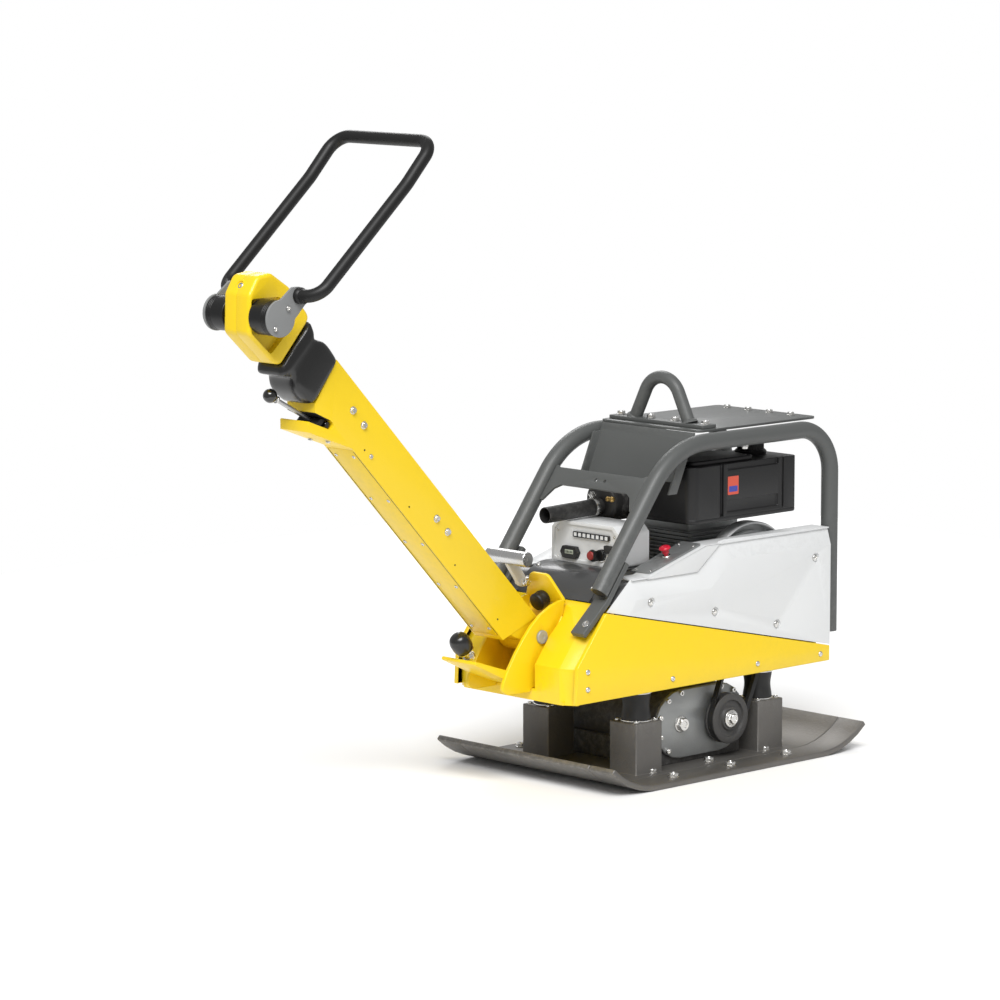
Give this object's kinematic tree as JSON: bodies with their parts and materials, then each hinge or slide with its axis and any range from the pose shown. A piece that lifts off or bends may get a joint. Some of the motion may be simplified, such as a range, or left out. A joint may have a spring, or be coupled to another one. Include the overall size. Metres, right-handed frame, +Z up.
{
  "type": "reversible vibratory plate",
  "caption": "Diesel reversible vibratory plate for compacting soil, with a tilting guide pole, a hub with a swinging control bow, a tubular guard frame and a lifting eye.",
  "frame": {"origin": "middle of the sole's flat underside", "axes": "+X forward, away from the guide pole; +Y to the machine's left; +Z up"},
  "size_m": [1.8107, 0.6046, 1.575],
  "materials": {
    "yellow_paint": "semi-gloss powder coat",
    "grey_paint": "satin powder coat",
    "silver_panel": "satin silver paint",
    "zinc_steel": "bright zinc",
    "cast_iron": "cast, wear on the sole",
    "black_plastic": "satin moulded",
    "black_metal": "satin heat-proof paint",
    "gloss_black": "polished",
    "black_enamel": "gloss enamel",
    "black_rubber": "moulded",
    "red_plastic": "gloss",
    "engine_alloy": "die cast",
    "cover_grey": "gloss paint"
  },
  "bodies": {
    "machine": {"upper_frame": "yellow_paint", "side_cover_right": "yellow_paint", "side_cover_left": "yellow_paint", "pole_bracket": "yellow_paint", "guard_tube_right": "grey_paint", "guard_tube_left": "grey_paint", "guard_foot_right": "grey_paint", "guard_foot_left": "grey_paint", "guard_crossbar": "grey_paint", "top_plate": "grey_paint", "back_panel": "grey_paint", "lifting_eye": "grey_paint", "service_plate": "grey_paint", "hood_right": "silver_panel", "hood_left": "silver_panel", "control_box": "silver_panel", "fan_housing": "silver_panel", "pivot_pin": "zinc_steel", "base_plate": "cast_iron", "extension_plate_right": "cast_iron", "extension_plate_left": "cast_iron", "exciter_housing": "cast_iron", "exciter_cover": "cast_iron", "hour_meter": "black_plastic", "indicator_strip": "black_plastic", "air_filter": "black_plastic", "battery": "black_plastic", "fuel_tank": "black_plastic", "muffler": "black_metal", "exhaust_pipe": "black_metal", "rubber_mount_front_right": "black_rubber", "rubber_mount_front_left": "black_rubber", "rubber_mount_rear_right": "black_rubber", "rubber_mount_rear_left": "black_rubber", "upper_buffer": "black_rubber", "lower_buffer": "black_rubber", "drive_belt": "black_rubber", "crankcase": "engine_alloy", "cylinder": "engine_alloy", "rear_cover": "cover_grey"},
    "guide_pole": {"guide_pole": "yellow_paint", "pole_cover": "yellow_paint", "boot": "black_rubber", "head_shell_right": "yellow_paint", "head_shell_left": "yellow_paint"},
    "control_bow": {"control_bow": "black_enamel", "control_hub": "black_metal"},
    "height_lever": {"lever_rod": "zinc_steel", "ball_knob": "gloss_black"},
    "pole_catch": {"pole_catch": "zinc_steel"},
    "start_button": {"start_button": "red_plastic"},
    "ignition_key": {"ignition_key": "black_plastic"},
    "stop_knob": {"stop_knob": "red_plastic"},
    "fuel_cap": {"fuel_cap": "black_plastic"},
    "crankshaft": {"clutch_pulley": "cast_iron"},
    "exciter_front": {"exciter_shaft_front": "zinc_steel", "timing_gear_front": "zinc_steel", "exciter_pulley": "cast_iron"},
    "exciter_rear": {"exciter_shaft_rear": "zinc_steel", "timing_gear_rear": "zinc_steel"}
  },
  "joints": [
    {"name": "pole_tilt", "type": "hinge", "parent": "machine", "child": "guide_pole", "pos_m": [-0.45, 0, 0.36], "axis": [0, 1, 0], "range_deg": [-14, 24]},
    {"name": "bow_swing", "type": "hinge", "parent": "guide_pole", "child": "control_bow", "pos_m": [-1.306, 0, 1.183], "axis": [0, 1, 0], "range_deg": [-25, 25]},
    {"name": "lever_release", "type": "hinge", "parent": "guide_pole", "child": "height_lever", "pos_m": [-1.10761, 0, 0.92237], "axis": [0, 1, 0], "range_deg": [-6, 0], "stiffness_Nm_per_rad": 10, "springref_deg": 5.73},
    {"name": "catch_swing", "type": "hinge", "parent": "machine", "child": "pole_catch", "pos_m": [-0.408, 0.05, 0.476], "axis": [0, 1, 0], "range_deg": [0, 25]},
    {"name": "start_press", "type": "slide", "parent": "machine", "child": "start_button", "axis": [1, 0, 0], "range_m": [0, 0.003], "stiffness_N_per_m": 400, "springref_m": -0.005},
    {"name": "key_turn", "type": "hinge", "parent": "machine", "child": "ignition_key", "pos_m": [-0.24, -0.054, 0.533], "axis": [1, 0, 0], "range_deg": [0, 90]},
    {"name": "stop_pull", "type": "slide", "parent": "machine", "child": "stop_knob", "axis": [-0.2878, 0, 0.9577], "range_m": [0, 0.012]},
    {"name": "cap_turn", "type": "hinge", "parent": "machine", "child": "fuel_cap", "pos_m": [0.27, -0.07, 0.748], "axis": [0, 0, 1], "range_deg": [0, 90]},
    {"name": "crank_spin", "type": "hinge", "parent": "machine", "child": "crankshaft", "pos_m": [0.2, 0, 0.43], "axis": [0, 1, 0], "continuous": true},
    {"name": "exciter_front_spin", "type": "hinge", "parent": "machine", "child": "exciter_front", "pos_m": [0.07, 0, 0.112], "axis": [0, 1, 0], "continuous": true},
    {"name": "exciter_rear_spin", "type": "hinge", "parent": "machine", "child": "exciter_rear", "pos_m": [-0.07, 0, 0.112], "axis": [0, 1, 0], "continuous": true}
  ],
  "couplings": [
    {"joint": "exciter_front_spin", "follows": "crank_spin", "ratio": 1.2},
    {"joint": "exciter_rear_spin", "follows": "crank_spin", "ratio": -1.2}
  ]
}
